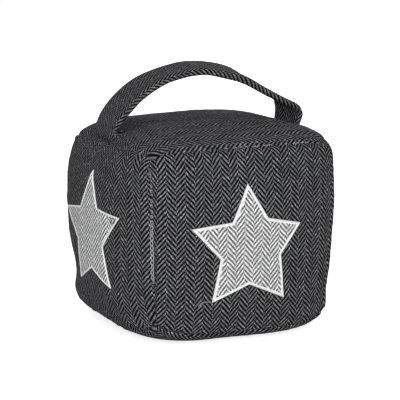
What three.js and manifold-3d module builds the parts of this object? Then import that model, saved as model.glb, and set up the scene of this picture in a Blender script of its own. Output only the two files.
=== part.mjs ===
// Weighted door stop: a filled cube of herringbone cloth with a carrying strap over its top
// and a star sewn to its front and to its left side.
// Millimetres. The origin is on the floor under the middle of the cube, +X runs along the strap,
// -Y is the front with its star, -X the side with the other star, and +Z is up.
import * as THREE from "three";
import { mergeVertices } from "three/addons/utils/BufferGeometryUtils.js";
import Module from "manifold-3d";

const wasm = await Module();
wasm.setup();

// The filled cube, measured over its bulging sides.
const CUBE_WIDTH = 150;
const CUBE_DEPTH = 153;
const CUBE_HEIGHT = 133.6;
const BASE_SINK = 1.2; // how much of the domed underside the weight presses flat
const CORNER_SQUARENESS_FOOT = 3.3; // superellipse exponent of the plan at the floor
const CORNER_SQUARENESS_CROWN = 5.1; // and at the top
const CROWN_SQUARENESS = 4.25; // exponent of the upright section, upper half
const FOOT_SQUARENESS = 4.65; // and lower half
const CUBE_STEPS = 18; // facets along one side of a panel
// How the sand swells the plan with height: [level from the floor (-1) to the crown (1), share].
const GIRTH = [
  [-1, 0.008],
  [-0.85, 0.027],
  [-0.6, -0.002],
  [0, 0],
  [0.6, -0.011],
  [1, 0.039],
];
// The upright corners sag unlike each other. Each stands out from the plan by a share for each
// level, and its ends are raised by a share of half the height.
const CORNER_LEVELS = [-0.95, -0.8, -0.5, -0.1, 0.4, 0.8];
const CORNERS = [
  { x: -1, y: -1, out: [-0.012, -0.025, -0.025, -0.023, -0.021, 0.036], top: 0.025, foot: -0.01 },
  { x: -1, y: 1, out: [-0.016, 0.039, -0.033, 0.013, 0.011, 0.008], top: -0.034, foot: 0.009 },
  { x: 1, y: -1, out: [0.048, 0.028, -0.024, -0.027, -0.013, 0.022], top: 0.022, foot: -0.053 },
  { x: 1, y: 1, out: [0, 0, 0, 0, 0, 0], top: 0.011, foot: 0 },
];
const CORNER_SPREAD = 0.15; // how far past the middle of its sides a corner's sag still reaches
const CORNER_LIMIT = 1.2; // most of a corner's share that a point gets

// The strap: a flattened tube of the same cloth, sewn into the top side seams at both ends.
const STRAP_WIDTH = 33.4;
const STRAP_THICKNESS = 4.3;
const STRAP_EDGE_RADIUS = 1.8; // roundness of its folded edges
const STRAP_RISE = 43; // from the seam up to the strap's middle line at its highest
const STRAP_END_OFFSET = 4.4; // how far each end sits off the middle of its seam, in turn back and front
const STRAP_TWIST_HEIGHT = 4; // rise of the back edge over the front edge on the slack right side
const STRAP_TAIL_LENGTH = 5; // what runs on below the seam before it is cut to the cube
const STRAP_STEPS = 44;
// The strap's line from left to right: share of the way out to the seam, share of the rise.
const STRAP_LINE = [
  [-0.98, 0.04],
  [-0.89, 0.39],
  [-0.73, 0.67],
  [-0.53, 0.87],
  [-0.29, 0.97],
  [-0.05, 1.0],
  [0.18, 0.96],
  [0.41, 0.86],
  [0.62, 0.69],
  [0.83, 0.51],
  [0.975, 0.37],
  [0.995, 0.26],
  [0.96, 0.04],
];
const STRAP_TWIST_CENTRE = 0.6; // share of the strap's length where the twist is fullest
const STRAP_TWIST_SPREAD = 0.22;

// The stars: a cut patch of pale herringbone cloth inside a raised satin-stitched border.
const STAR_TIP_RADIUS = 40.5;
const STAR_NOTCH_RADIUS = 21.6;
const STAR_POINTS = 5;
const STAR_BORDER_WIDTH = 2;
const STAR_BORDER_HEIGHT = 1.5;
const STAR_PATCH_THICKNESS = 0.9;
const STAR_HEIGHT = 63.1; // middle of a star above the floor
const FRONT_STAR_SHIFT = -1.8; // along X from the middle of the front
const LEFT_STAR_SHIFT = 2.6; // along Y from the middle of the left side
const STAR_EDGE_STEPS = 4; // facets along one straight edge of a star
const STAR_RINGS = 3;
const SEARCH_PASSES = 12; // steps that seat a star's point on the cube's skin

const SEWN_GAP = 0.3; // clearance between pieces that are sewn together

const darkCloth = () =>
  new THREE.MeshStandardMaterial({ color: 0x3a3a3d, roughness: 0.95, metalness: 0 });
const paleCloth = () =>
  new THREE.MeshStandardMaterial({ color: 0xb4b4b6, roughness: 0.9, metalness: 0 });
const satinThread = () =>
  new THREE.MeshStandardMaterial({ color: 0xe2e2e2, roughness: 0.6, metalness: 0 });

function namedMesh(name, geometry, material) {
  const mesh = new THREE.Mesh(geometry, material);
  mesh.name = name;
  return mesh;
}

// Moves every vertex of a geometry to the place that a function gives for it.
function remapped(geometry, place) {
  const position = geometry.getAttribute("position");
  const point = new THREE.Vector3();
  for (let i = 0; i < position.count; i += 1) {
    point.fromBufferAttribute(position, i);
    place(point);
    position.setXYZ(i, point.x, point.y, point.z);
  }
  geometry.computeVertexNormals();
  return geometry;
}

function toSolid(geometry) {
  const bare = geometry.clone();
  bare.deleteAttribute("normal");
  bare.deleteAttribute("uv");
  const merged = mergeVertices(bare, 1e-4);
  return new wasm.Manifold(
    new wasm.Mesh({
      numProp: 3,
      vertProperties: merged.getAttribute("position").array,
      triVerts: new Uint32Array(merged.index.array),
    }),
  );
}

function toGeometry(solid) {
  const mesh = solid.getMesh();
  const geometry = new THREE.BufferGeometry();
  geometry.setAttribute("position", new THREE.BufferAttribute(mesh.vertProperties, 3));
  geometry.setIndex(new THREE.BufferAttribute(mesh.triVerts, 1));
  geometry.computeVertexNormals();
  return geometry;
}

// The cube's shape before its underside is pressed flat. Level runs from -1 at the underside
// to 1 at the crown.
const FULL_HEIGHT = CUBE_HEIGHT + BASE_SINK;
const levelAt = (z) => (2 * (z + BASE_SINK)) / FULL_HEIGHT - 1;
const heightAt = (level) => (FULL_HEIGHT / 2) * (1 + level) - BASE_SINK;
const planExponent = (level) =>
  THREE.MathUtils.lerp(CORNER_SQUARENESS_FOOT, CORNER_SQUARENESS_CROWN, (level + 1) / 2);
const uprightExponent = (level) => (level > 0 ? CROWN_SQUARENESS : FOOT_SQUARENESS);

// A value at a level from knots of [level, value], easing from one knot to the next.
function eased(knots, level) {
  const place = THREE.MathUtils.clamp(level, knots[0][0], knots.at(-1)[0]);
  const next = Math.max(knots.findIndex(([at]) => at >= place), 1);
  const [[from, low], [to, high]] = [knots[next - 1], knots[next]];
  return THREE.MathUtils.lerp(low, high, THREE.MathUtils.smoothstep(place, from, to));
}

// How much a corner's sag moves a point: all at the corner, nothing past the sides' middles.
function cornerShare(corner, p) {
  const across = Math.max((corner.x * p.x) / (CUBE_WIDTH / 2) + CORNER_SPREAD, 0);
  const along = Math.max((corner.y * p.y) / (CUBE_DEPTH / 2) + CORNER_SPREAD, 0);
  return Math.min(across * along, CORNER_LIMIT);
}

// A point of the cube's skin from a point (a, b, c) of the surface of a cube of half side 1.
function skinPoint(a, b, c, swell = 0) {
  const n = uprightExponent(c);
  const m = planExponent(c);
  const spread = (Math.abs(a) ** m + Math.abs(b) ** m) ** (1 / m);
  const reach = (spread ** n + Math.abs(c) ** n) ** (-1 / n);
  const level = c * reach;
  const girth = reach * (1 + eased(GIRTH, level));
  const p = new THREE.Vector3(
    (CUBE_WIDTH / 2 + swell) * a * girth,
    (CUBE_DEPTH / 2 + swell) * b * girth,
    heightAt(level) + swell * level,
  );
  const [upper, lower] = [level, -level].map((end) => Math.max(end, 0) ** 2);
  for (const corner of CORNERS) {
    const share = cornerShare(corner, p);
    const knots = corner.out.map((out, i) => [CORNER_LEVELS[i], out]);
    const out = 1 + share * eased(knots, level);
    p.x *= out;
    p.y *= out;
    p.z += (share * (upper * corner.top + lower * corner.foot) * FULL_HEIGHT) / 2;
  }
  p.z = Math.max(p.z, -swell);
  return p;
}

// How far a side's skin lies from the upright axis, at a place across the side and a height.
// The place is found by stepping towards it on the skin.
function sideReach(side, across, z) {
  let [share, level] = [across / side.halfAcross, levelAt(z)];
  let found = side.onSkin(share, level);
  for (let pass = 0; pass < SEARCH_PASSES; pass += 1) {
    share += (across - found.across) / side.halfAcross;
    level += (2 * (z - found.z)) / FULL_HEIGHT;
    found = side.onSkin(share, level);
  }
  return found.out;
}

// The cube itself: one closed skin, with the swell that a cutting copy needs.
function cubeGeometry(swell = 0) {
  const blank = new THREE.BoxGeometry(2, 2, 2, CUBE_STEPS, CUBE_STEPS, CUBE_STEPS);
  return remapped(blank, (p) => p.copy(skinPoint(p.x, p.y, p.z, swell)));
}

// The strap's middle line, from below one seam, up over the cube and down below the other seam.
function strapLine() {
  const seam = skinPoint(1, 0, 1);
  const along = STRAP_LINE.map(([out, up]) => [out * seam.x, seam.z + up * STRAP_RISE]);
  const tail = (from, to) => {
    const step = Math.hypot(from[0] - to[0], from[1] - to[1]);
    return [0, 1].map((i) => from[i] + ((from[i] - to[i]) * STRAP_TAIL_LENGTH) / step);
  };
  const points = [tail(along[0], along[1]), ...along, tail(along.at(-1), along.at(-2))];
  return new THREE.CatmullRomCurve3(
    points.map(([x, z]) => new THREE.Vector3(x, (-STRAP_END_OFFSET * x) / seam.x, z)),
    false,
    "centripetal",
  );
}

// The strap: a rounded flat section carried along its line and cut clear of the cube.
function strapGeometry() {
  const line = strapLine();
  const blank = new THREE.BoxGeometry(1, 2, 2, STRAP_STEPS, 6, 2);
  const strap = remapped(blank, (p) => {
    const share = p.x + 0.5;
    const [across, out] = [p.y, p.z];
    const middle = line.getPointAt(share);
    const run = line.getTangentAt(share);
    const outward = new THREE.Vector3(-run.z, 0, run.x).normalize();
    const round = Math.abs(across) === 1 ? STRAP_EDGE_RADIUS : 0;
    const fromTwist = (share - STRAP_TWIST_CENTRE) / STRAP_TWIST_SPREAD;
    const twist = STRAP_TWIST_HEIGHT * Math.exp(-(fromTwist ** 2));
    p.copy(middle).addScaledVector(outward, out * (STRAP_THICKNESS / 2 - round * 0.4));
    p.y += across * (STRAP_WIDTH / 2 - round * Math.abs(out) * 0.6);
    p.z += (twist * across) / 2;
  });
  return toGeometry(toSolid(strap).subtract(toSolid(cubeGeometry(SEWN_GAP))));
}

// A star's outline at a share of the way round, for a tip radius of 1, starting at the top tip.
function starOutline(share) {
  const corners = 2 * STAR_POINTS;
  const corner = (i) => {
    const radius = i % 2 === 0 ? 1 : STAR_NOTCH_RADIUS / STAR_TIP_RADIUS;
    const angle = (i * 2 * Math.PI) / corners;
    return new THREE.Vector2(Math.sin(angle), Math.cos(angle)).multiplyScalar(radius);
  };
  const place = share * corners;
  const from = Math.floor(place + 1e-6);
  return corner(from).lerp(corner(from + 1), Math.max(place - from, 0));
}

// Distance from a star's centre to the line of each of its edges, for a tip radius of 1.
function starEdgeDistance() {
  const [tip, notch] = [starOutline(0), starOutline(0.5 / STAR_POINTS)];
  return Math.abs(tip.cross(notch)) / tip.distanceTo(notch);
}

// A star-shaped solid on a side, from a profile of (tip radius, height off the skin).
// facing turns (across, out, z) of that side into a point.
function starGeometry(profile, side) {
  const points = profile.map(([radius, rise]) => new THREE.Vector2(radius, rise));
  const round = 2 * STAR_POINTS * STAR_EDGE_STEPS;
  const blank = new THREE.LatheGeometry(points, round);
  return remapped(blank, (p) => {
    const share = (Math.atan2(p.x, p.z) / (2 * Math.PI) + 1) % 1;
    const onRound = Math.round(share * round) / round;
    const flat = starOutline(onRound % 1).multiplyScalar(Math.hypot(p.x, p.z));
    const across = flat.x + side.shift;
    const z = flat.y + STAR_HEIGHT;
    p.copy(side.place(across, sideReach(side, across, z) + p.y, z));
  });
}

const SIDES = {
  front: {
    shift: FRONT_STAR_SHIFT,
    halfAcross: CUBE_WIDTH / 2,
    place: (across, out, z) => new THREE.Vector3(across, -out, z),
    onSkin: (share, level) => {
      const p = skinPoint(share, -1, level);
      return { across: p.x, out: -p.y, z: p.z };
    },
  },
  left: {
    shift: -LEFT_STAR_SHIFT,
    halfAcross: CUBE_DEPTH / 2,
    place: (across, out, z) => new THREE.Vector3(-out, -across, z),
    onSkin: (share, level) => {
      const p = skinPoint(-1, -share, level);
      return { across: -p.y, out: -p.x, z: p.z };
    },
  },
};

// The tip radius of a star whose edges lie a set distance inside the border's outer edges.
const insetRadius = (inset) => STAR_TIP_RADIUS - inset / starEdgeDistance();

function starPatchGeometry(side) {
  const edge = insetRadius(STAR_BORDER_WIDTH + SEWN_GAP);
  const radii = Array.from({ length: STAR_RINGS + 1 }, (_, i) => (edge * i) / STAR_RINGS);
  const top = SEWN_GAP + STAR_PATCH_THICKNESS;
  const profile = [...radii.map((r) => [r, top]), ...radii.toReversed().map((r) => [r, SEWN_GAP])];
  return starGeometry(profile, side);
}

function starBorderGeometry(side) {
  const [inner, outer] = [insetRadius(STAR_BORDER_WIDTH), STAR_TIP_RADIUS];
  const middle = (inner + outer) / 2;
  const [low, shoulder, top] = [0, 0.6, 1].map((share) => SEWN_GAP + share * STAR_BORDER_HEIGHT);
  const [foot, rib] = [[inner, low], [inner, shoulder]];
  const profile = [foot, rib, [middle, top], [outer, shoulder], [outer, low], foot];
  return starGeometry(profile, side);
}

const doorStop = new THREE.Group();
doorStop.add(namedMesh("filled_cube", cubeGeometry(), darkCloth()));
doorStop.add(namedMesh("carrying_strap", strapGeometry(), darkCloth()));
for (const [name, side] of Object.entries(SIDES)) {
  doorStop.add(namedMesh(`${name}_star_patch`, starPatchGeometry(side), paleCloth()));
  doorStop.add(namedMesh(`${name}_star_border`, starBorderGeometry(side), satinThread()));
}

export default doorStop;
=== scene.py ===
import functools
import math

import bpy
import numpy as np
from bpy.types import Operator, Panel, PropertyGroup
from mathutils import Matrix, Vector


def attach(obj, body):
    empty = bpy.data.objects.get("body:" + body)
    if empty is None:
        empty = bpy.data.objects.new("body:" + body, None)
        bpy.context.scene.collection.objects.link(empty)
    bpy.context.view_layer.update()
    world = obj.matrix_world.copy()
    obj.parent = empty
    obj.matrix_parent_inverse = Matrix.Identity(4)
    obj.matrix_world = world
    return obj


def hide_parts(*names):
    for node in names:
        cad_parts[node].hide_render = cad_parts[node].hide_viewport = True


bl_info = {
    "name": "Weighted Fabric Door Stop",
    "version": (1, 0, 0),
    "blender": (4, 5, 0),
    "location": "3D View > Sidebar > Door Stop",
    "description": "A sand-filled herringbone cube with a carrying strap and two stars",
    "category": "Add Mesh",
}

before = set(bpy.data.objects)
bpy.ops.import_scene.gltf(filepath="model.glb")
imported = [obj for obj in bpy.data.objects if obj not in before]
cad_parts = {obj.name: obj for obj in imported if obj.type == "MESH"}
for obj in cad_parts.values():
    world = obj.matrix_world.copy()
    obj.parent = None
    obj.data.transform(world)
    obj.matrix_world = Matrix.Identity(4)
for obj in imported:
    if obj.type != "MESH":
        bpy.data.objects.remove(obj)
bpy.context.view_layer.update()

MM = 0.001
# No thread runs this way, so it gives each of them a side.
ODD_DIRECTION = (0.31, 0.23, 0.92)

# The cover's six panels. Seen from outside, a panel's first direction runs to the right and its
# second upwards.
PANELS = {
    "front": lambda i, j, low, high: (i, low, j),
    "right": lambda i, j, low, high: (high, i, j),
    "back": lambda i, j, low, high: (low + high - i, high, j),
    "left": lambda i, j, low, high: (low, low + high - i, j),
    "top": lambda i, j, low, high: (i, j, high),
    "bottom": lambda i, j, low, high: (i, low + high - j, low),
}

# Where a lowest point of the herringbone's zigzag falls, in mm from the panel's left seam.
# On the top and bottom panels the columns lie from side to side, counted from the back.
COLUMN_START = {"front": 3.5, "right": 6.0, "back": 2.0, "left": 11.4, "top": 2.1, "bottom": 4.0}

# The stars as cut by hand, in mm from the panel's middle, clockwise from the top point.
FRONT_STAR = (
    (-2.6, 36.6), (11.0, 14.4), (33.8, 9.5), (20.0, -9.2), (23.0, -37.0),
    (-1.7, -26.2), (-26.6, -35.8), (-20.9, -9.0), (-39.2, 11.1), (-13.2, 13.5),
)
LEFT_STAR = (
    (5.9, 39.7), (16.1, 17.1), (41.6, 15.1), (23.3, -6.2), (31.7, -31.5),
    (7.0, -22.7), (-17.2, -34.5), (-17.2, -8.6), (-42.0, 8.9), (-11.0, 14.0),
)


def linear_colour(code):
    """An sRGB hex colour as linear red, green, blue and alpha."""
    parts = [int(code[k:k + 2], 16) / 255 for k in (1, 3, 5)]
    return [p / 12.92 if p <= 0.04045 else ((p + 0.055) / 1.055) ** 2.4 for p in parts] + [1.0]


# Sizes and colours


def length(name, description, millimetres):
    """A length property."""
    return bpy.props.FloatProperty(
        name=name, description=description, default=millimetres * MM, min=0.0,
        unit="LENGTH", precision=4)


def colour(name, description, code):
    """A colour property."""
    return bpy.props.FloatVectorProperty(
        name=name, description=description, default=linear_colour(code)[:3], size=3,
        min=0.0, max=1.0, subtype="COLOR")


def number(name, description, value, kind=bpy.props.FloatProperty, **limits):
    """A property that is a share, a power, a strength or a count."""
    return kind(name=name, description=description, default=value, **limits)


def angle(name, description, degrees):
    """An angle property, written in degrees."""
    return bpy.props.FloatProperty(
        name=name, description=description, default=math.radians(degrees), subtype="ANGLE",
        unit="ROTATION")


class DoorStopCube(PropertyGroup):
    """Sizes of the filled cube."""

    width: length("Width", "Side to side, across the front star", 150.0)
    depth: length("Depth", "Front to back", 153.0)
    height: length("Height", "From the floor to the crown", 133.6)
    settled: length("Settled", "How far the filling sinks flat at the base", 1.2)
    foot_corner: number("Foot squareness", "How square the cube is in plan at the foot", 3.3)
    crown_corner: number("Crown squareness", "How square the cube is in plan at the top", 5.1)
    crown_edge: number("Upper edge", "How square the upper edges are from the side", 4.25)
    foot_edge: number("Lower edge", "How square the lower edges are from the side", 4.65)
    cuts: number("Cuts", "Faces along each edge of a panel", 96, bpy.props.IntProperty, min=12)
    belly: length("Belly", "How far the left panel swells out beyond the plan", 4.2)
    seam_depth: length("Seam depth", "How far a seam is pulled in", 1.0)
    seam_width: length("Seam width", "Half the width of the seam's groove", 1.5)
    pucker: length("Pucker", "Height of the small folds beside the seams", 0.35)
    hollow: length("Hollow", "Depth of the dent inside the strap's left end", 3.2)


class DoorStopWeave(PropertyGroup):
    """Threads and colours of the two herringbone cloths."""

    end_spacing: length("End spacing", "From one upright thread to the next", 0.726)
    pick_spacing: length("Pick spacing", "From one cross thread to the next", 0.8)
    charcoal_light: colour("Charcoal light thread", "Upright threads of the dark cloth", "#ABABAF")
    charcoal_dark: colour("Charcoal dark thread", "Cross threads of the dark cloth", "#121214")
    pale_light: colour("Pale light thread", "Upright threads of the star cloth", "#FCFCFC")
    pale_dark: colour("Pale grey thread", "Cross threads of the star cloth", "#606064")
    # A darker copy of the star cloth's grey thread: painted shade for the grazing light on the left
    # star.
    pale_dark_left_painted_shade: colour("Pale grey thread, left", "The same on the left star", "#3A3A3E")
    satin: colour("Satin thread", "Border of the stars", "#E8E8E7")
    seam_thread: colour("Seam thread", "Stitches that show in the seams", "#BCBCC0")
    pink_thread: colour("Pink thread", "A short run of pinkish stitches in the top seam", "#C9B3BA")
    loose_thread: colour("Loose thread", "Thread end beside the front star", "#9A9A9C")
    knot_thread: colour("Knot thread", "Thread end caught under the left star's tip", "#6E6A58")


class DoorStopStrap(PropertyGroup):
    """Sizes of the carrying strap."""

    width: length("Width", "Across the folded strap", 33.4)
    thickness: length("Thickness", "Of the folded strap", 4.3)
    hem: length("Hem", "Radius of the roll of cloth at its left end", 1.3)
    stations: number(
        "Stations", "Cross-sections along the strap", 220, bpy.props.IntProperty, min=20)


class DoorStopStars(PropertyGroup):
    """Sizes of the stars."""

    border: length("Border", "Width of the satin stitch round the star", 1.8)
    border_height: length("Border height", "Height of the satin stitch above the cover", 1.3)
    patch: length("Patch", "Height of the star's cloth above the cover", 0.75)
    thread: length("Satin thread", "From one satin thread to the next, drawn coarse", 0.9)


class DoorStopStudio(PropertyGroup):
    """Camera and lamps."""

    azimuth: angle("Azimuth", "Camera, left of straight in front", 25.2)
    elevation: angle("Elevation", "Camera, above the horizon", 11.66)
    distance: length("Distance", "From the camera to the cube's middle", 973.1)
    aim_height: length("Aim height", "Height of the point that the camera looks at", 68.8)
    key: number("Key", "Power of the key lamp", 15.9)
    top: number("Top", "Power of the lamp overhead", 3.6)
    fill: number("Fill", "Power of the fill lamp", 1.5)
    back: number("Back", "Power of the lamp behind", 9.0)
    sky: number("Sky", "Even light from all round", 0.24)


# Small helpers


def eased(knots, values, level):
    """A value at a level from knots, easing from one knot to the next."""
    knots, values = np.asarray(knots, float), np.asarray(values, float)
    place = np.clip(level, knots[0], knots[-1])
    k = np.clip(np.searchsorted(knots, place) - 1, 0, len(knots) - 2)
    t = (place - knots[k]) / (knots[k + 1] - knots[k])
    return values[k] + (values[k + 1] - values[k]) * t * t * (3 - 2 * t)


def unit(v):
    """Vectors scaled to length one."""
    return v / np.maximum(np.linalg.norm(v, axis=-1, keepdims=True), 1e-12)


def bell(place, middle, width):
    """A smooth hump of height one, where middle and width are in mm."""
    return np.exp(-((place - middle * MM) / (width * MM)) ** 2)


def arc_length(points):
    """Distance along a row of points from its first."""
    return np.concatenate([[0.0], np.cumsum(np.linalg.norm(np.diff(points, axis=0), axis=1))])


def make_piece(name, points, faces, weave=None):
    """A smooth mesh object. weave gives each face corner's place on the cloth, in metres."""
    mesh = bpy.data.meshes.new(name)
    mesh.from_pydata(np.asarray(points).tolist(), [], [list(map(int, f)) for f in faces])
    mesh.polygons.foreach_set("use_smooth", [True] * len(mesh.polygons))
    if weave is not None:
        layer = mesh.uv_layers.new(name="weave")
        layer.data.foreach_set("uv", np.asarray(weave, np.float32).ravel())
    mesh.validate()
    mesh.update()
    piece = bpy.data.objects.new(name, mesh)
    bpy.context.scene.collection.objects.link(piece)
    return piece


def grid_faces(numbers, wrap=False):
    """Four-sided faces between the rows of a grid of point numbers."""
    numbers = np.asarray(numbers)
    if wrap:
        numbers = np.concatenate([numbers, numbers[:, :1]], axis=1)
    return np.stack([numbers[:-1, :-1], numbers[:-1, 1:], numbers[1:, 1:], numbers[1:, :-1]],
                    axis=-1).reshape(-1, 4)


def corner_values(u, v):
    """The two numbers of each corner of the faces that grid_faces makes, from two grids."""
    both = np.stack([u, v], axis=-1)
    return np.stack([both[:-1, :-1], both[:-1, 1:], both[1:, 1:], both[1:, :-1]],
                    axis=-2).reshape(-1, 2)


def skin(rings):
    """Points and faces round a row of rings of points, with a cap at each end."""
    numbers = np.arange(rings[..., 0].size).reshape(rings.shape[:2])
    faces = [*grid_faces(numbers, wrap=True), numbers[0][::-1], numbers[-1]]
    return rings.reshape(-1, 3), faces


def skin_weave(girth, along):
    """Where skin's face corners lie on the cloth, by distance round and along the rings."""
    weave = corner_values(*np.meshgrid(girth, along))
    return np.concatenate([weave, np.zeros((2 * (len(girth) - 1), 2))])


def tube(points, radius, sides=6):
    """Points and faces of a round thread along a row of points."""
    points = np.asarray(points, float)
    ahead = np.roll(points, -1, axis=0) - np.roll(points, 1, axis=0)
    ahead[0], ahead[-1] = points[1] - points[0], points[-1] - points[-2]
    ahead = unit(ahead)
    side = unit(np.cross(ahead, ODD_DIRECTION))
    other = np.cross(ahead, side)
    turn = np.linspace(0, 2 * np.pi, sides, endpoint=False)
    width = np.broadcast_to(radius, len(points))[:, None, None]
    return skin(points[:, None] + width * (
        side[:, None] * np.cos(turn)[:, None] + other[:, None] * np.sin(turn)[:, None]))


def joined(parts):
    """Several pairs of points and faces as one pair."""
    points, faces, count = [], [], 0
    for p, f in parts:
        points.append(p)
        faces += [[k + count for k in face] for face in f]
        count += len(p)
    return np.concatenate(points), faces


def ripple(place, lengths, seed):
    """Smooth unevenness from -1 to 1 along a line, made of waves of these lengths."""
    random = np.random.default_rng(seed)
    waves = [np.sin(2 * np.pi * place / w + random.uniform(0, 2 * np.pi)) for w in lengths]
    return sum(waves) / len(lengths)


# The cover's shape

# How the sand swells the plan, from the foot (-1) to the crown (1), as a share.
GIRTH_LEVELS = (-1, -0.85, -0.6, 0, 0.6, 1)
GIRTH = (0.008, 0.027, -0.002, 0, -0.011, 0.039)

# The upright corners sag unlike each other. Each stands out from the plan by a share for each
# level, and its top and foot are raised by a share of half the height.
CORNER_LEVELS = (-0.95, -0.8, -0.5, -0.1, 0.4, 0.8)
CORNERS = (
    ((-1, -1), (-0.012, -0.030, -0.040, -0.045, -0.036, 0.036), 0.025, -0.010),
    ((-1, 1), (-0.016, 0.047, -0.024, 0.013, 0.011, 0.004), -0.046, 0.009),
    ((1, -1), (0.048, 0.028, -0.024, -0.027, -0.018, 0.014), 0.018, -0.053),
    ((1, 1), (0, 0, 0, 0, 0, 0), -0.008, 0),
)
CORNER_SPREAD = 0.15
CORNER_LIMIT = 1.2

# The left panel bellies out a little in front of its middle. Places and depths are in mm, levels
# go from the foot (-1) to the crown (1).
BELLY_PLACES, BELLY = (-57, -21, 63), (0, 1, 0)
BELLY_LEVELS, BELLY_SHARES = (-0.95, -0.5, 0.5, 0.85), (0, 1, 1, 0)
BELLY_DEPTHS, BELLY_FADE = (-68, -45), (1, 0)


def cover_point(sizes, a, b, c):
    """The cover's surface for points of a cube that reaches from -1 to 1 each way."""
    a, b, c = (np.asarray(k, float) for k in np.broadcast_arrays(a, b, c))
    plan = sizes.foot_corner + (sizes.crown_corner - sizes.foot_corner) * (c + 1) / 2
    side = np.where(c > 0, sizes.crown_edge, sizes.foot_edge)
    spread = np.maximum(np.abs(a) ** plan + np.abs(b) ** plan, 1e-9) ** (1 / plan)
    reach = (spread ** side + np.abs(c) ** side) ** (-1 / side)
    level = c * reach
    girth = reach * (1 + eased(GIRTH_LEVELS, GIRTH, level))
    half_x, half_y, half_z = sizes.width / 2, sizes.depth / 2, (sizes.height + sizes.settled) / 2
    x, y, z = half_x * a * girth, half_y * b * girth, half_z * (1 + level) - sizes.settled
    upper, lower = np.maximum(level, 0) ** 2, np.maximum(-level, 0) ** 2
    for (sx, sy), out, top, foot in CORNERS:
        near = (np.maximum(sx * x / half_x + CORNER_SPREAD, 0)
                * np.maximum(sy * y / half_y + CORNER_SPREAD, 0))
        near = np.minimum(near, CORNER_LIMIT)
        out = 1 + near * eased(CORNER_LEVELS, out, level)
        x, y = x * out, y * out
        z = z + near * (upper * top + lower * foot) * half_z
    x = x - (sizes.belly * eased(BELLY_PLACES, BELLY, y / MM)
             * eased(BELLY_LEVELS, BELLY_SHARES, level) * eased(BELLY_DEPTHS, BELLY_FADE, x / MM))
    return np.stack([x, y, np.maximum(z, 0)], axis=-1)


def cube_levels(cuts):
    """Places of the cuts along a cube edge, closer together towards the seams."""
    even = np.linspace(-1, 1, cuts + 1)
    return 0.55 * even + 0.45 * np.sin(np.pi / 2 * even)


def cube_lattice(cuts):
    """The points of a cube with cuts along each edge, and each panel's grid of their numbers."""
    numbers, grids = {}, {}
    for panel, place in PANELS.items():
        grids[panel] = np.array([
            [numbers.setdefault(place(i, j, 0, cuts), len(numbers)) for i in range(cuts + 1)]
            for j in range(cuts + 1)])
    return np.array(list(numbers)), grids


def panel_rulers(sizes, panel):
    """Levels across a panel with their distance along its middle row and its middle column."""
    levels = np.linspace(-1, 1, 401)
    row = cover_point(sizes, *PANELS[panel](levels, 0 * levels, -1.0, 1.0))
    column = cover_point(sizes, *PANELS[panel](0 * levels, levels, -1.0, 1.0))
    return levels, arc_length(row), arc_length(column)


def panel_weave(sizes, panel):
    """Where the points of a panel lie on the cloth, in metres: across its columns and along them.

    Threads don't stretch, so each is measured along the surface from the panel's middle lines,
    and the cloth shears towards the corners."""
    levels = cube_levels(sizes.cuts)
    across, up = np.meshgrid(levels, levels)
    points = cover_point(sizes, *PANELS[panel](across, up, -1.0, 1.0))
    middle = sizes.cuts // 2
    u = np.linalg.norm(np.diff(points, axis=1), axis=2).cumsum(axis=1)
    v = np.linalg.norm(np.diff(points, axis=0), axis=2).cumsum(axis=0)
    u, v = np.pad(u, ((0, 0), (1, 0))), np.pad(v, ((1, 0), (0, 0)))
    u = u - u[:, middle:middle + 1] + u[middle, middle]
    v = v - v[middle] + v[middle, middle]
    if panel in ("top", "bottom"):
        u, v = 2 * v[middle, middle] - v, u
    return u - COLUMN_START[panel] * MM, v


# The simulated cover: cuts along each edge, frames, how much smaller it starts in mm, and the
# most that its folds may reach. Its seams shrink by shrink_max, and the rest grows a little.
FOLD_CUTS, FOLD_FRAMES, FOLD_INSET, FOLD_LIMIT = 44, 20, 2.2, 0.8 * MM
CLOTH_SETTINGS = {
    "quality": 6, "mass": 0.3, "tension_stiffness": 40, "compression_stiffness": 40,
    "shear_stiffness": 20, "bending_stiffness": 0.5, "use_pressure": True,
    "uniform_pressure_force": 4, "shrink_min": -0.02, "shrink_max": 0.035,
}

# The dent inside the strap's left end: its place on the top panel and its radius in mm.
HOLLOW, HOLLOW_RADIUS = (-0.82, -0.14), 3.6

# Where a seam lies deeper or less deep than elsewhere: panel, side (left, right, foot or top),
# by what share, and the middle and width of that stretch in mm.
SEAM_STRETCHES = (
    ("front", 0, 0.9, 17, 9), ("left", 1, 0.9, 17, 9),
    ("front", 3, -0.75, 0, 15), ("top", 2, -0.75, 0, 15),
)
# The seams round the top panel are pulled in by this share of the others.
TOP_SEAM = 0.6
# The cloth stands up beside a seam, and the small folds are highest a little way from it, in mm.
LIP_HEIGHT, LIP_MIDDLE, LIP_WIDTH = 0.3, 3.4, 1.7
FOLD_MIDDLE = 3


def seam_relief(sizes, panel, side, gap, along, seed):
    """How far the cloth stands out beside one seam, at a gap from it and a place along it."""
    flat = TOP_SEAM if panel == "top" or side == 3 and panel != "bottom" else 1.0
    uneven = 1 + 0.25 * ripple(along, (23 * MM, 37 * MM, 61 * MM), 3)
    for *seam, share, middle, width in SEAM_STRETCHES:
        if seam == [panel, side]:
            uneven = uneven + share * bell(along, middle, width)
    groove = -sizes.seam_depth * flat * uneven * bell(gap, 0, sizes.seam_width / MM)
    lip = LIP_HEIGHT * MM * bell(gap, LIP_MIDDLE, LIP_WIDTH)
    fold = sizes.pucker * ripple(along, (9.1 * MM, 6.3 * MM, 14.7 * MM), seed)
    fade = gap / (FOLD_MIDDLE * MM) * np.exp(1 - gap / (FOLD_MIDDLE * MM))
    return groove + lip + fold * fade


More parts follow.
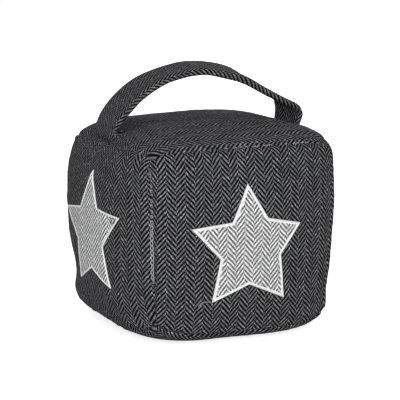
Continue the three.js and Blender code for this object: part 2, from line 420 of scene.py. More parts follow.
def swollen(points, grids):
    """How far the filling pushes each point of the cloth cover out, by a cloth simulation.

    The cover starts a little too small. Its seams are gathered, so the panels swell between them
    and fold towards them."""
    inset = FOLD_INSET * MM
    faces = np.concatenate([grid_faces(g) for g in grids.values()])
    piece = make_piece("cover_trial", points, faces)
    normals = np.array([v.normal for v in piece.data.vertices])
    start = points - normals * inset
    piece.data.vertices.foreach_set("co", start.astype(np.float32).ravel())
    seams = piece.vertex_groups.new(name="seams")
    on_seam = np.unique(np.concatenate([
        np.concatenate([g[0], g[-1], g[:, 0], g[:, -1]]) for g in grids.values()]))
    seams.add([int(k) for k in on_seam], 1.0, "REPLACE")
    cloth = piece.modifiers.new("cloth", "CLOTH").settings
    for key, value in CLOTH_SETTINGS.items():
        setattr(cloth, key, value)
    cloth.effector_weights.gravity = 0
    cloth.vertex_group_shrink = "seams"
    for moment in range(1, FOLD_FRAMES + 1):
        bpy.context.scene.frame_set(moment)
    shape = piece.evaluated_get(bpy.context.evaluated_depsgraph_get())
    moved = np.array([v.co for v in shape.data.vertices]) - start
    bpy.data.objects.remove(piece)
    bpy.context.scene.frame_set(1)
    if not np.isfinite(moved).all():
        raise RuntimeError("the cloth simulation did not settle")
    return np.clip((moved * normals).sum(axis=1), -2 * inset, 4 * inset) - inset


def cover_folds(sizes, cuts):
    """The folds that the simulation gives the cover, as a coarse grid for each panel.

    The cover's plain shape has each panel's main swell already, so that part is taken off."""
    coarse, grids = cube_lattice(cuts)
    levels = np.linspace(-1, 1, cuts + 1)
    swell = swollen(cover_point(sizes, *levels[coarse].T), grids)
    s, t = (k.ravel() for k in np.meshgrid(levels, levels))
    slow = np.stack([s ** i * t ** j for i in range(5) for j in range(5)], axis=1)
    folds = {}
    for panel, grid in grids.items():
        values = swell[grid].ravel()
        values = values - slow @ np.linalg.lstsq(slow, values, rcond=None)[0]
        # A star's stitching holds its cloth flat.
        if panel in ("front", "left"):
            values = values * np.interp(np.hypot(s, t), (0.55, 0.95), (0.15, 1.0))
        folds[panel] = (FOLD_LIMIT * np.tanh(0.7 * values / FOLD_LIMIT)).reshape(grid.shape)
    return folds


def on_grid(grid, across, up):
    """A grid's value between its points, where across and up reach from -1 to 1."""
    cuts = len(grid) - 1
    i, j = (np.clip((np.asarray(k) + 1) / 2 * cuts, 0, cuts - 1e-6) for k in (across, up))
    i0, j0 = i.astype(int), j.astype(int)
    fi, fj = i - i0, j - j0
    if grid.ndim == 3:
        fi, fj = fi[..., None], fj[..., None]
    return ((grid[j0, i0] * (1 - fi) + grid[j0, i0 + 1] * fi) * (1 - fj)
            + (grid[j0 + 1, i0] * (1 - fi) + grid[j0 + 1, i0 + 1] * fi) * fj)


def cover_reader(sizes):
    """A function from a panel, levels across and up it and a lift to points off the cover."""
    piece = bpy.data.objects["filled_cover"]
    grids, levels = cube_lattice(sizes.cuts)[1], cube_levels(sizes.cuts)
    steps = np.linspace(-1, 1, len(levels))
    both = [np.array([getattr(v, key) for v in piece.data.vertices]) for key in ("co", "normal")]

    def on_cover(panel, across, up, lift):
        i, j = np.interp(across, levels, steps), np.interp(up, levels, steps)
        points, normals = (on_grid(values[grids[panel]], i, j) for values in both)
        return points + unit(normals) * np.asarray(lift)[..., None]

    return on_cover


def panel_reader(sizes, on_cover, panel):
    """The same for one panel, by places on it in metres from its middle."""
    marks, row, rise = panel_rulers(sizes, panel)
    middle = row[len(row) // 2], rise[len(rise) // 2]

    def place(flat, lift):
        across = np.interp(flat[..., 0] + middle[0], row, marks)
        up = np.interp(flat[..., 1] + middle[1], rise, marks)
        return on_cover(panel, across, up, lift)

    return place


# Materials

# Upright threads in a column of the zigzag, the scale of the raised nap (about a millimetre from
# tuft to tuft), and the fleck from which a dash has a thick white slub: one in thirty.
COLUMN_ENDS = 8
NAP_SCALE = 900.0
SLUB_FROM = 0.967


def add_node(tree, kind, inputs=(), out=0, **settings):
    """Adds a node with its settings, and gives its inputs values or links to other nodes.

    Gives back the output named out, or the whole node where that is None."""
    node = tree.nodes.new("ShaderNode" + kind)
    for key, value in settings.items():
        setattr(node, key, value)
    for key, value in dict(inputs).items():
        if isinstance(value, bpy.types.NodeSocket):
            tree.links.new(value, node.inputs[key])
        else:
            node.inputs[key].default_value = value
    return node if out is None else node.outputs[out]


def empty_tree(owner):
    """A function that adds nodes to the emptied node tree of a material or a world."""
    owner.use_nodes = True
    owner.node_tree.nodes.clear()
    return functools.partial(add_node, owner.node_tree)


def herringbone_cloth(name, weave, light, dark, painted_crevice_brightness, uneven):
    """Brushed wool-mix herringbone: a broken two-and-two twill in columns of eight threads.

    The light upright threads and the dark cross threads each float over two, so the eye sees
    zigzag stripes made of short dashes, soft at the edges from the raised nap."""
    material = bpy.data.materials.new(name)
    add = empty_tree(material)
    place = add("UVMap", out="UV", uv_map="weave")
    # Sewn cloth is never ruled straight: its columns drift over centimetres and single threads
    # wander over millimetres.
    for scale, reach in ((28.0, (0.0022, 0.0030, 0.0)), (130.0, (0.0008, 0.0010, 0.0))):
        wander = add("TexNoise", {"Vector": place, "Scale": scale, "Detail": 1.0}, out="Color")
        wander = add("VectorMath", {0: wander, 1: (0.5, 0.5, 0.5)}, operation="SUBTRACT")
        place = add("VectorMath", {0: wander, 1: reach, 2: place}, operation="MULTIPLY_ADD")
    counted = add("VectorMath", {0: place, 1: (1 / weave.end_spacing, 1 / weave.pick_spacing, 0.0)},
                  operation="MULTIPLY")
    split = add("SeparateXYZ", {0: counted}, out=None)

    def calc(operation, *values):
        return add("Math", dict(enumerate(values)), operation=operation)

    def where_end(no, yes):
        """One value where a cross thread lies on top, another where an upright one does."""
        return add("Mix", {0: end_on_top, 2: no, 3: yes}, data_type="FLOAT")

    times, times_add = (functools.partial(calc, kind) for kind in ("MULTIPLY", "MULTIPLY_ADD"))
    end, pick = (calc("FLOOR", split.outputs[k]) for k in (0, 1))
    across_end, along_pick = (calc("FRACT", split.outputs[k]) for k in (0, 1))
    # The twill climbs to the right in one column and to the left in the next.
    column = calc("FLOORED_MODULO", end, 2.0 * COLUMN_ENDS)
    leftward = calc("GREATER_THAN", column, COLUMN_ENDS - 0.5)
    turn = times_add(leftward, 2.0, -1.0)
    climb = times_add(end, turn, pick)
    climb = calc("SUBTRACT", climb, leftward)
    phase = calc("FLOORED_MODULO", calc("ADD", climb, 1.0), 4.0)
    end_on_top = calc("LESS_THAN", phase, 1.5)
    # How far along its float of two a thread is, and how high it stands there.
    end_run = times(calc("ADD", phase, along_pick), 0.5)
    pick_run = times_add(calc("SUBTRACT", phase, 2.5), turn, 0.5)
    pick_run = times(calc("ADD", pick_run, across_end), 0.5)
    heights = []
    for side, run in ((across_end, end_run), (along_pick, pick_run)):
        hump = times(calc("PINGPONG", side, 0.5), 2.0)
        arch = calc("POWER", times(calc("PINGPONG", run, 0.5), 2.0), 0.8)
        heights.append(times(hump, arch))
    height = where_end(heights[1], heights[0])
    # Spun wool varies from thread to thread, and along each thread.
    shade = add("TexWhiteNoise", {"W": where_end(pick, end)}, out="Value", noise_dimensions="1D")
    dash = add("CombineXYZ", {0: end, 1: calc("FLOOR", times(pick, 0.5))})
    fleck = add("TexWhiteNoise", {"Vector": dash}, out="Value")
    nap = add("TexNoise", {"Vector": place, "Scale": NAP_SCALE, "Detail": 3.0, "Roughness": 0.7},
              out="Fac")
    # How bright a place is: its thread's own tone, its fleck, the nap, and painted shade by its
    # height.
    amount = times_add(shade, 0.3 * uneven, 0.95 - 0.45 * uneven)
    amount = times_add(calc("POWER", fleck, 2.0), 0.9 * uneven, amount)
    slub = calc("GREATER_THAN", fleck, SLUB_FROM)
    amount = times_add(slub, 0.5 * uneven, amount)
    amount = times(amount, times_add(nap, 0.8, 0.6))
    # Painted shade: each thread darkens towards its edges and into the hollows between threads, by
    # its height.
    lit = times_add(height, 1 - painted_crevice_brightness, painted_crevice_brightness)
    amount = times(amount, lit)
    thread_colour = add("Mix", {0: end_on_top, 6: (*dark, 1.0), 7: (*light, 1.0)}, out=2,
                        data_type="RGBA")
    cloth_colour = add("VectorMath", {0: thread_colour, 3: amount}, operation="SCALE")
    fibres = times_add(nap, 0.35, height)
    bump = add("Bump", {"Height": fibres, "Strength": 0.6, "Distance": 0.0003}, out="Normal")
    shader = add("BsdfPrincipled", {
        "Base Color": cloth_colour, "Normal": bump, "Roughness": 0.95, "IOR": 1.5,
        "Specular IOR Level": 0.03})
    add("OutputMaterial", {"Surface": shader}, out=None)
    return material


def spun_thread(name, shade, gloss=0.7):
    """Spun polyester thread, made once: a soft shine and fine uneven strands."""
    if name in bpy.data.materials:
        return bpy.data.materials[name]
    material = bpy.data.materials.new(name)
    add = empty_tree(material)
    place = add("TexCoord", out="Object")
    strands = add("TexNoise", {"Vector": place, "Scale": 1400.0, "Detail": 2.0}, out="Fac")
    tone = add("Math", {0: strands, 1: 0.8, 2: 0.6}, operation="MULTIPLY_ADD")
    tinted = add("VectorMath", {0: tuple(shade), 3: tone}, operation="SCALE")
    bump = add("Bump", {"Height": strands, "Strength": 0.4, "Distance": 0.0001}, out="Normal")
    shader = add("BsdfPrincipled", {
        "Base Color": tinted, "Normal": bump, "Roughness": gloss, "IOR": 1.5,
        "Sheen Weight": 0.1, "Sheen Roughness": 0.4})
    add("OutputMaterial", {"Surface": shader}, out=None)
    return material


def charcoal_cloth():
    """The dark cloth of the cover and the strap, made once: it reads as black and grey zigzags."""
    weave = bpy.context.scene.door_stop_weave
    # The 0.10 paints strong shade into the hollows between the dark cloth's threads.
    return bpy.data.materials.get("wool_mix_herringbone_charcoal") or herringbone_cloth(
        "wool_mix_herringbone_charcoal", weave, weave.charcoal_light, weave.charcoal_dark,
        0.10, 1.0)


def pale_cloth(panel):
    """The pale cloth of a star: soft grey zigzags on white.

    The left star is seen at a slant, where its stripes run together, and its light grazes it, so
    its grey thread is painted darker as shade from that grazing light, and its threads get none of
    the painted shade towards their edges."""
    weave = bpy.context.scene.door_stop_weave
    # The left star's darker grey is painted shade, and 1.0 paints no shade into the hollows between
    # its threads.
    dark, painted_crevice_brightness = {"front": (weave.pale_dark, 0.75), "left": (weave.pale_dark_left_painted_shade, 1.0)}[panel]
    return herringbone_cloth(f"wool_mix_herringbone_pale_{panel}", weave, weave.pale_light, dark,
                             painted_crevice_brightness, 0.5)


# Operators


class DoorStopMakeCover(Operator):
    """Make the sand-filled cube with its sewn herringbone cover"""

    bl_idname = "mesh.door_stop_cover"
    bl_label = "Filled Cover"

    def execute(self, context):
        sizes = context.scene.door_stop_cube
        lattice, grids = cube_lattice(sizes.cuts)
        levels = cube_levels(sizes.cuts)
        points = cover_point(sizes, *levels[lattice].T)
        faces = np.concatenate([grid_faces(g) for g in grids.values()])
        weave = np.concatenate([corner_values(*panel_weave(sizes, panel)) for panel in PANELS])
        cover = make_piece("filled_cover", points, faces, weave)
        normals = np.array([v.normal for v in cover.data.vertices])

        # The simulation gives the filling's push, and the sewing each seam's groove and folds.
        coarse = cover_folds(sizes, FOLD_CUTS)
        offset, shared = np.zeros((2, len(points)))
        for seed, (panel, grid) in enumerate(grids.items()):
            marks, row, column = panel_rulers(sizes, panel)
            u, v = np.meshgrid(np.interp(levels, marks, row), np.interp(levels, marks, column))
            across, up = np.meshgrid(levels, levels)
            relief = on_grid(coarse[panel], across, up)
            for side, (gap, along) in enumerate((
                    (u, v), (row[-1] - u, v), (v, u), (column[-1] - v, u))):
                relief = relief + seam_relief(sizes, panel, side, gap, along, 10 * seed + side)
            if panel == "top":
                away = np.hypot((across - HOLLOW[0]) * sizes.width / 2,
                                (up - HOLLOW[1]) * sizes.depth / 2)
                relief = relief - sizes.hollow * bell(away, 0, HOLLOW_RADIUS)
            np.add.at(offset, grid.ravel(), relief.ravel())
            np.add.at(shared, grid.ravel(), 1.0)
        points = points + normals * (offset / shared)[:, None]
        points[:, 2] = np.maximum(points[:, 2], 0.0)
        cover.data.vertices.foreach_set("co", points.astype(np.float32).ravel())
        cover.data.update()
        cover.data.materials.append(charcoal_cloth())
        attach(cover, "root")
        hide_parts("filled_cube")
        return {"FINISHED"}


# The strap's middle line in mm from left to right: along, up, how much higher its far edge is,
# how much further right its far edge is, and how full it is as a share of its thickness.
STRAP_LINE = (
    (-64.5, 124.6, 0.4, 1.2, 0.9), (-62.2, 131.8, 0.0, 1.4, 1.0), (-57.3, 139.6, 0.0, -0.8, 1.0),
    (-46.5, 150.5, 0.8, -1.0, 1.0), (-33.4, 158.6, 1.2, 0.0, 1.0), (-18.5, 163.4, 1.3, 0.4, 1.0),
    (-3.6, 165.5, 2.2, 0.7, 1.05), (11.2, 163.7, 3.9, 1.0, 1.15), (25.7, 159.7, 4.4, 1.1, 1.2),
    (39.2, 152.3, 3.8, 0.9, 1.0), (52.5, 145.1, 3.1, 0.8, 0.95), (61.3, 140.6, 2.6, 0.0, 0.85),
    (63.0, 137.2, 1.8, -1.2, 0.75), (63.2, 133.4, 0.8, -1.4, 0.7), (60.9, 125.8, -0.6, 0.4, 0.7),
)
STRAP_NEAR_EDGE = (-12.7, -21.6)

# The hem at the strap's left end, from inside its near edge forward along the seam.
HEM_LINE = ((-64.2, -10.4, 131.0), (-63.9, -12.6, 129.2), (-63.9, -15.2, 127.6),
            (-63.2, -17.6, 126.7), (-62.3, -19.8, 126.9), (-61.2, -21.2, 126.6))
HEM_SIDES = 12

# By what share the strap is pressed thin in its middle and varies along its length, and by what
# share its ends are pinched over what share of the length.
STRAP_PRESSED, STRAP_VARIES = 0.16, 0.05
STRAP_PINCH, STRAP_PINCHED = 0.35, 0.03
# How far its edges wander, and where a column of its weave begins, in mm.
STRAP_WANDER, STRAP_COLUMN = 0.35, 2.4


def spline(points, count):
    """A smooth row of points through the given ones, evenly spaced."""
    points = np.asarray(points, float)
    ends = np.concatenate([[2 * points[0] - points[1]], points, [2 * points[-1] - points[-2]]])
    t = np.linspace(0, 1, 24, endpoint=False)[:, None]
    row = []
    for p0, p1, p2, p3 in zip(ends, ends[1:], ends[2:], ends[3:]):
        row.append(0.5 * (2 * p1 + (p2 - p0) * t + (2 * p0 - 5 * p1 + 4 * p2 - p3) * t ** 2
                          + (3 * p1 - p0 - 3 * p2 + p3) * t ** 3))
    row = np.concatenate(row + [points[-1:]])
    along = arc_length(row[:, :3])
    even = np.linspace(0, along[-1], count)
    return np.stack([np.interp(even, along, row[:, k]) for k in range(row.shape[1])], axis=1)


class DoorStopMakeStrap(Operator):
    """Make the folded carrying strap that is sewn into the side seams"""

    bl_idname = "mesh.door_stop_strap"
    bl_label = "Carrying Strap"

    def execute(self, context):
        sizes = context.scene.door_stop_strap
        right, up, far_up, far_right, full = np.array(STRAP_LINE).T
        centre = np.linspace(*STRAP_NEAR_EDGE, len(full)) + sizes.width / 2 / MM
        knots = np.stack([right, centre, up, far_right, far_up, full / MM], axis=1) * MM
        row = spline(knots, sizes.stations)
        middle = row[:, :3]
        across = unit(np.stack([row[:, 3], np.full(len(row), sizes.width), row[:, 4]], axis=1))
        ahead = unit(np.gradient(middle, axis=0))
        out = unit(np.cross(ahead, across))
        along = arc_length(middle)
        share = along / along[-1]

        # Round the section: flat outer face, folded edge, flat inner face, folded edge.
        edge = sizes.thickness / 2
        flat = sizes.width / 2 - edge
        turn = np.linspace(-np.pi / 2, np.pi / 2, 11)
        level = np.linspace(flat, -flat, 15)[1:-1]
        section = np.concatenate([
            np.stack([flat + edge * np.cos(turn), edge * np.sin(turn)], axis=1),
            np.stack([level, np.full(len(level), edge)], axis=1),
            np.stack([-flat - edge * np.cos(turn), -edge * np.sin(turn)], axis=1),
            np.stack([-level, np.full(len(level), -edge)], axis=1),
        ])
        girth = arc_length(np.concatenate([section, section[:1]]))

        # Two layers pressed flat in the middle and full at the folds, a little uneven.
        side, lift = section[:, 0], section[:, 1]
        pressed = 1 - STRAP_PRESSED * np.cos(np.pi / 2 * np.clip(side / flat, -1, 1)) ** 2
        uneven = 1 + STRAP_VARIES * ripple(along, (17 * MM, 29 * MM, 41 * MM), 5)
        pinch = 1 - sum(STRAP_PINCH * np.exp(-(k / STRAP_PINCHED) ** 2) for k in (share, 1 - share))
        wide = STRAP_WANDER * MM * ripple(along, (13 * MM, 23 * MM, 47 * MM), 6)
        y = side + np.sign(side) * wide[:, None]
        z = lift * pressed * (row[:, 5] * uneven * pinch)[:, None]
        band = skin(middle[:, None] + across[:, None] * y[..., None] + out[:, None] * z[..., None])
        # The hem of its left end turns forward where it enters the seam.
        hem = spline(np.array(HEM_LINE) * MM, 26)
        swell = np.sin(np.pi * np.linspace(0.2, 0.97, len(hem))) ** 0.6
        girths = girth - STRAP_COLUMN * MM, np.linspace(0, 2 * np.pi * sizes.hem, HEM_SIDES + 1)
        weave = [skin_weave(g, a) for g, a in zip(girths, (along, arc_length(hem)))]
        points, faces = joined([band, tube(hem, sizes.hem * swell, HEM_SIDES)])
        strap = make_piece("carrying_strap_cloth", points, faces, np.concatenate(weave))
        strap.data.materials.append(charcoal_cloth())
        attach(strap, "root")
        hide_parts("carrying_strap")
        return {"FINISHED"}


def inset_outline(outline, gap):
    """A closed outline, clockwise, moved inwards by gap, keeping its corners sharp."""
    before, after = np.roll(outline, 1, axis=0), np.roll(outline, -1, axis=0)
    d1, d2 = unit(outline - before), unit(after - outline)
    n1, n2 = (np.stack([d[:, 1], -d[:, 0]], axis=1) for d in (d1, d2))
    miter = unit(n1 + n2)
    return outline + miter * (gap / np.maximum((miter * n1).sum(axis=1), 0.2))[:, None]


def walk_outline(outline, step):
    """Places along a closed outline, evenly along each edge: edge number plus share of the edge."""
    edges = np.linalg.norm(np.roll(outline, -1, axis=0) - outline, axis=1)
    counts = [max(2, int(round(edge / step))) for edge in edges]
    return np.concatenate([k + np.arange(count) / count for k, count in enumerate(counts)])


def outline_points(outline, places):
    """The points of a closed outline at places from walk_outline."""
    closed = np.concatenate([outline, outline[:1]])
    corners = np.arange(len(closed))
    return np.stack([np.interp(places, corners, closed[:, k]) for k in (0, 1)], axis=1)


# Each star's panel, outline, the start of a column of its cloth in mm, and how full its border is.
STARS = (("front", FRONT_STAR, -10.9, 1.0), ("left", LEFT_STAR, 0.0, 0.5))

# A patch's rings, their step along the outline, and the height and lengths of its waves, in mm.
PATCH_RINGS, PATCH_STEP = 16, 1.2
PATCH_WAVE, PATCH_WAVE_X, PATCH_WAVE_Y = 0.12, 7, 9

# How high the satin threads stand out of the border, and how deep its edge lies, in mm.
RIB_HEIGHT, BORDER_SUNK = 0.22, 0.25


def make_patch(sizes, place, panel, outline, column, full):
    """A star's cloth: rings of points from under its border to its middle."""
    walked = walk_outline(outline, PATCH_STEP * MM)
    rim = outline_points(inset_outline(outline, sizes.border * 0.45 * full), walked)
    heart = rim.mean(axis=0)
    rings = np.linspace(1, 0, PATCH_RINGS + 1)[:-1]
    flat = heart + (rim - heart) * rings[:, None, None]
    wave = (np.sin(flat[..., 0] / (PATCH_WAVE_X * MM))
            * np.sin(flat[..., 1] / (PATCH_WAVE_Y * MM)))
    lift = sizes.patch * full + PATCH_WAVE * MM * wave
    lift[0] = 0.1 * MM * full
    points = np.concatenate([place(flat, lift).reshape(-1, 3),
                             place(heart, np.array(sizes.patch * full))[None]])
    hub = len(points) - 1
    numbers = np.arange(hub).reshape(PATCH_RINGS, -1)
    closed = np.concatenate([flat, flat[:, :1]], axis=1)
    weave = corner_values(closed[..., 0] - column, closed[..., 1])
    faces = [*grid_faces(numbers, wrap=True),
             *((p, q, hub) for p, q in zip(numbers[-1], np.roll(numbers[-1], -1)))]
    fan = np.stack([flat[-1], np.roll(flat[-1], -1, axis=0), rim * 0 + heart], axis=1)
    weave = np.concatenate([weave, fan.reshape(-1, 2) - (column, 0)])
    patch = make_piece(f"{panel}_star_cloth", points, faces, weave)
    patch.data.materials.append(pale_cloth(panel))
    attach(patch, "root")
    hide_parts(f"{panel}_star_patch")
    return patch


def make_border(sizes, place, panel, outline, full):
    """A star's border: a low dome of threads laid across its edge."""
    walked = walk_outline(outline, sizes.thread / 4)
    outer = outline_points(outline, walked)
    inner = inset_outline(outline, sizes.border * (0.25 + 0.75 * full))
    inner = outline_points(inner, walked)
    share = np.linspace(0, 1, 8)
    flat = outer[:, None] * (1 - share)[:, None] + inner[:, None] * share[:, None]
    run = arc_length(np.concatenate([outer, outer[:1]]))[:-1]
    rib = 0.5 * np.cos(2 * np.pi * run / sizes.thread)
    loose = 1 + 0.15 * ripple(run, (2.9 * MM, 4.3 * MM, 7.1 * MM), 21)
    dome = np.sin(np.pi * (0.06 + 0.88 * share)) ** 0.7
    lift = (sizes.border_height * full * dome * loose[:, None]
            + rib[:, None] * RIB_HEIGHT * MM * dome
            + (sizes.patch * full * share - BORDER_SUNK * MM) * (1 - dome))
    numbers = np.arange(flat[..., 0].size).reshape(flat.shape[:2])
    numbers = np.concatenate([numbers, numbers[:1]])
    border = make_piece(f"{panel}_star_satin_border", place(flat, lift).reshape(-1, 3),
                        grid_faces(numbers)[:, ::-1])
    satin = bpy.context.scene.door_stop_weave.satin
    border.data.materials.append(spun_thread("polyester_satin_stitch", satin, 0.45))
    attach(border, "root")
    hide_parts(f"{panel}_star_border")
    return border


class DoorStopMakeStars(Operator):
    """Make the two star patches and their satin-stitched borders"""

    bl_idname = "mesh.door_stop_stars"
    bl_label = "Stars"

    def execute(self, context):
        cube = context.scene.door_stop_cube
        sizes = context.scene.door_stop_stars
        on_cover = cover_reader(cube)
        for panel, outline, column, full in STARS:
            place = panel_reader(cube, on_cover, panel)
            outline = np.array(outline) * MM
            patch = make_patch(sizes, place, panel, outline, column * MM, full)
            border = make_border(sizes, place, panel, outline, full)
            tuple(np.ptp(outline, axis=0))
        return {"FINISHED"}


# The chain of loops down the front-left seam reaches between two levels. Loops are whole where
# CHAIN_CLEAR is one and worn out where it is nought.
CHAIN_TOP, CHAIN_FOOT = 0.80, -0.40
CHAIN_LEVELS, CHAIN_CLEAR = (-0.42, -0.34, 0.15, 0.35, 0.8), (0.2, 1.0, 1.0, 0.3, 0.0)
# A loop's half width and half height, its distance to the next and how it varies, in mm.
LOOP_WIDE, LOOP_TALL, LOOP_PITCH, LOOP_VARIES = 0.8, 0.65, 3.35, 0.12
# Half the length of the front-left seam, and of the seams that have bars of thread, in metres.
CHAIN_REACH, BAR_REACH = 0.062, 0.068

# Runs of short stitches: panel, from and to which level, the seam's own level, which way it
# runs, distance from stitch to stitch and radius in mm.
BARS = (
    ("front", -0.25, 0.05, 1.0, "across", 3.4, 0.20),
    ("front", 0.42, 0.66, 1.0, "across", 3.0, 0.20),
    ("front", -0.78, -0.62, -1.0, "across", 2.4, 0.26),
    ("front", -0.50, 0.20, 1.0, "up", 3.2, 0.18),
)
PINK_BARS = ("front", 0.10, 0.27, 1.0, "across", 2.1, 0.2)

# The loose thread end by the front star, in levels across and up the panel, and its radius.
LOOSE_LINE = ((-0.376, -0.530), (-0.395, -0.522), (-0.426, -0.518), (-0.450, -0.524),
              (-0.466, -0.538), (-0.480, -0.560), (-0.486, -0.572))
LOOSE_RADIUS = 0.17
# The thread end caught under the left star's tip: middle, reach each way and radius in mm.
KNOT, KNOT_REACH, KNOT_RADIUS = (36.4, 12.6), np.array([1.8, 1.6]), 0.27


def make_thread(name, shape, material, shade):
    """A piece made of thread."""
    piece = make_piece(name, *shape)
    piece.data.materials.append(spun_thread(material, shade))
    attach(piece, "root")


def chain_loops(random, seam_frame):
    """A chain of small loops down the front-left seam."""
    chain, up = [], CHAIN_TOP
    while up > CHAIN_FOOT:
        spot, out = seam_frame("front", -1.0, up)
        down = unit(seam_frame("front", -1.0, up - 0.02)[0] - spot)
        side = unit(np.cross(down, out))
        clear = np.interp(up, CHAIN_LEVELS, CHAIN_CLEAR)
        # The clearest loops are whole, the others open on one side, as worn thread lies.
        first = random.uniform(0, 2 * np.pi)
        open_turn = random.uniform(1.3, 1.85) * np.pi
        turn = first + np.linspace(0, open_turn + (2 * np.pi - open_turn) * clear ** 3, 14)
        wide = (LOOP_WIDE + LOOP_VARIES * random.uniform(-1, 1)) * MM * (0.6 + 0.4 * clear)
        tall = (LOOP_TALL + 0.75 * clear + LOOP_VARIES * random.uniform(-1, 1)) * MM
        shift = 0.15 * MM * random.uniform(-1, 1)
        lift = (0.25 + 0.85 * clear) * MM + 0.15 * MM * np.cos(2 * turn)
        loop = (spot + side * (shift + wide * np.cos(turn))[:, None]
                + down * (tall * np.sin(turn))[:, None] + out * lift[:, None])
        if random.uniform() < 0.45 + 0.55 * clear:
            chain.append(tube(loop, (0.1 + 0.12 * clear) * MM))
        pitch = LOOP_PITCH + (0.6 - 0.4 * clear) * random.uniform(-1, 1)
        up -= pitch * MM / CHAIN_REACH
    return chain


def bar_stitches(random, seam_frame, panel, low, high, level, along, pitch, thick):
    """Short threads that lie along a seam, with gaps between them."""
    parts, place = [], low
    while place < high:
        ends = []
        for share in (-0.5, -0.2, 0.2, 0.5):
            spot = place + share * 1.5 * MM / BAR_REACH
            where = (spot, level) if along == "across" else (level, spot)
            point, out = seam_frame(panel, *where)
            ends.append(point + out * (0.95 - 1.6 * share * share) * MM
                        + np.array([0, 0, 0.25 * MM * random.uniform(-1, 1)]))
        if random.uniform() < 0.8:
            parts.append(tube(ends, thick * MM))
        place += pitch * MM / BAR_REACH * random.uniform(0.8, 1.2)
    return parts


class DoorStopMakeStitching(Operator):
    """Make the threads that show in the seams, and the loose thread ends"""

    bl_idname = "mesh.door_stop_stitching"
    bl_label = "Seam Stitching"

    def execute(self, context):
        cube = context.scene.door_stop_cube
        weave = context.scene.door_stop_weave
        on_cover = cover_reader(cube)
        random = np.random.default_rng(8)

        def seam_frame(panel, across, up):
            """A point on a seam and the direction outwards there."""
            spot, above = (on_cover(panel, across, up, lift) for lift in (0.0, 1 * MM))
            return spot, unit(above - spot)

        chain = chain_loops(random, seam_frame)
        for run in BARS:
            chain += bar_stitches(random, seam_frame, *run)
        make_thread("seam_stitching", joined(chain), "polyester_seam_thread", weave.seam_thread)
        pink = joined(bar_stitches(random, seam_frame, *PINK_BARS))
        make_thread("top_seam_stitching", pink, "polyester_pink_thread", weave.pink_thread)

        line = np.array(LOOSE_LINE)
        path = spline(np.concatenate([line, 0 * line[:, :1]], axis=1), 30)
        lift = MM * np.interp(np.linspace(0, 1, 30), [0, 0.3, 0.8, 1], [0.4, 1.1, 0.8, 0.1])
        path = on_cover("front", path[:, 0], path[:, 1], lift)
        make_thread("loose_thread", tube(path, LOOSE_RADIUS * MM), "polyester_loose_thread",
                    weave.loose_thread)
        turn = np.linspace(0.3, 2 * np.pi + 0.1, 26)
        flat = (KNOT + KNOT_REACH * np.stack([np.cos(turn), np.sin(turn)], axis=1)) * MM
        path = panel_reader(cube, on_cover, "left")(flat, np.full(26, 1.0 * MM))
        make_thread("caught_thread", tube(path, KNOT_RADIUS * MM), "polyester_knot_thread",
                    weave.knot_thread)
        return {"FINISHED"}


# Lamps: name, side in metres and place. They all look at a point inside the cube.
LAMPS = (
    ("key", 0.9, (-0.50, -1.30, 0.52)),
    ("top", 1.0, (-0.1, 0.15, 1.5)),
    ("fill", 1.2, (-1.5, -0.5, 0.6)),
    ("back", 1.2, (1.0, 1.4, 0.6)),
)
LAMP_AIM = (0, 0, 0.08)

# The floor reaches this far each way, just under the cube, and glows to a plain pale tone.
FLOOR_REACH, FLOOR_LEVEL, FLOOR_GLOW = 6, -0.0002, 0.75

# The camera's lens in mm and its shift, and how near and far it sees in metres.
LENS, SHIFT_X, SHIFT_Y = 133.95, 0.0020, 0.0388
NEAR, FAR = 0.05, 30


def point_at(holder, aim):
    """Turns an object so that it looks along aim."""
    holder.rotation_mode = "QUATERNION"
    holder.rotation_quaternion = Vector([float(k) for k in aim]).to_track_quat("-Z", "Y")


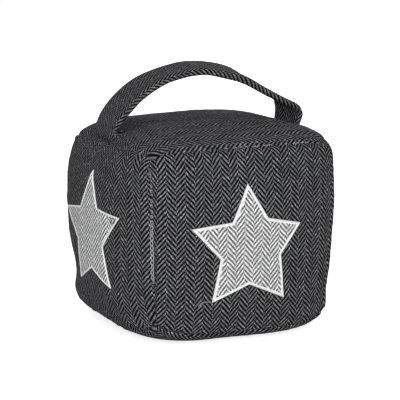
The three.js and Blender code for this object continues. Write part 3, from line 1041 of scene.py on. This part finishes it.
class DoorStopMakeStudio(Operator):
    """Make the pale floor, the soft lamps and the camera"""

    bl_idname = "scene.door_stop_studio"
    bl_label = "Studio"

    def execute(self, context):
        studio = context.scene.door_stop_studio
        corners = ((-1, -1), (1, -1), (1, 1), (-1, 1))
        floor = make_piece("studio_floor", [
            (x * FLOOR_REACH, y * FLOOR_REACH, FLOOR_LEVEL) for x, y in corners], [(0, 1, 2, 3)])
        # White paper: matt, and lit evenly for the camera, so that only the shadow shades it.
        material = bpy.data.materials.new("white_paper_floor")
        add = empty_tree(material)
        paper = add("BsdfPrincipled", {"Base Color": linear_colour("#FFFFFF"), "Roughness": 0.95,
                                       "Specular IOR Level": 0.0})
        seen = add("LightPath", out="Is Camera Ray")
        glow = add("Emission", {"Color": (FLOOR_GLOW, FLOOR_GLOW, FLOOR_GLOW, 1.0),
                                "Strength": seen})
        add("OutputMaterial", {"Surface": add("AddShader", {0: paper, 1: glow})}, out=None)
        floor.data.materials.append(material)

        # The sky is white where the camera or a shine sees it, and dim as a light.
        world = bpy.data.worlds.new("studio")
        context.scene.world = world
        add = empty_tree(world)
        seen = add("Math", {0: add("LightPath", out="Is Camera Ray"),
                            1: add("LightPath", out="Is Glossy Ray")}, operation="MAXIMUM")
        strength = add("Mix", {0: seen, 2: studio.sky, 3: 1.0}, data_type="FLOAT")
        sky = add("Background", {"Color": (1.0, 1.0, 1.0, 1.0), "Strength": strength})
        add("OutputWorld", {"Surface": sky}, out=None)

        for name, size, spot in LAMPS:
            lamp = bpy.data.lights.new(name, "AREA")
            lamp.energy, lamp.size = getattr(studio, name), size
            holder = bpy.data.objects.new(name, lamp)
            context.scene.collection.objects.link(holder)
            holder.location = spot
            point_at(holder, np.array(LAMP_AIM) - np.array(spot))

        camera = bpy.data.objects.new("camera", bpy.data.cameras.new("camera"))
        context.scene.collection.objects.link(camera)
        az, el = studio.azimuth, studio.elevation
        back = np.array([-math.sin(az) * math.cos(el), -math.cos(az) * math.cos(el), math.sin(el)])
        camera.location = back * studio.distance + np.array([0, 0, studio.aim_height])
        point_at(camera, -back)
        camera.data.lens = LENS
        camera.data.shift_x, camera.data.shift_y = SHIFT_X, SHIFT_Y
        camera.data.clip_start, camera.data.clip_end = NEAR, FAR
        context.scene.camera = camera
        context.scene.view_settings.view_transform = "Standard"
        return {"FINISHED"}


class DoorStopPanel(Panel):
    """Buttons that make the door stop piece by piece, and its sizes"""

    bl_idname = "VIEW3D_PT_door_stop"
    bl_label = "Door Stop"
    bl_space_type = "VIEW_3D"
    bl_region_type = "UI"
    bl_category = "Door Stop"

    def draw(self, context):
        for operator in OPERATORS:
            self.layout.operator(operator.bl_idname)
        for name in PROPERTIES:
            group = getattr(context.scene, name)
            box = self.layout.box()
            for key in group.__annotations__:
                box.prop(group, key)


OPERATORS = (DoorStopMakeCover, DoorStopMakeStrap, DoorStopMakeStars, DoorStopMakeStitching,
             DoorStopMakeStudio)
PROPERTIES = {
    "door_stop_cube": DoorStopCube,
    "door_stop_weave": DoorStopWeave,
    "door_stop_strap": DoorStopStrap,
    "door_stop_stars": DoorStopStars,
    "door_stop_studio": DoorStopStudio,
}
CLASSES = (*PROPERTIES.values(), *OPERATORS, DoorStopPanel)


def register():
    """Adds the classes and the scene's sizes."""
    for kind in CLASSES:
        bpy.utils.register_class(kind)
    for name, kind in PROPERTIES.items():
        setattr(bpy.types.Scene, name, bpy.props.PointerProperty(type=kind))


def unregister():
    """Takes them out again."""
    for name in PROPERTIES:
        delattr(bpy.types.Scene, name)
    for kind in reversed(CLASSES):
        bpy.utils.unregister_class(kind)


def main():
    """Makes the whole door stop in its studio."""
    register()
    bpy.ops.mesh.door_stop_cover()
    bpy.ops.mesh.door_stop_strap()
    bpy.ops.mesh.door_stop_stars()
    bpy.ops.mesh.door_stop_stitching()
    bpy.ops.scene.door_stop_studio()


if __name__ == "__main__":
    main()
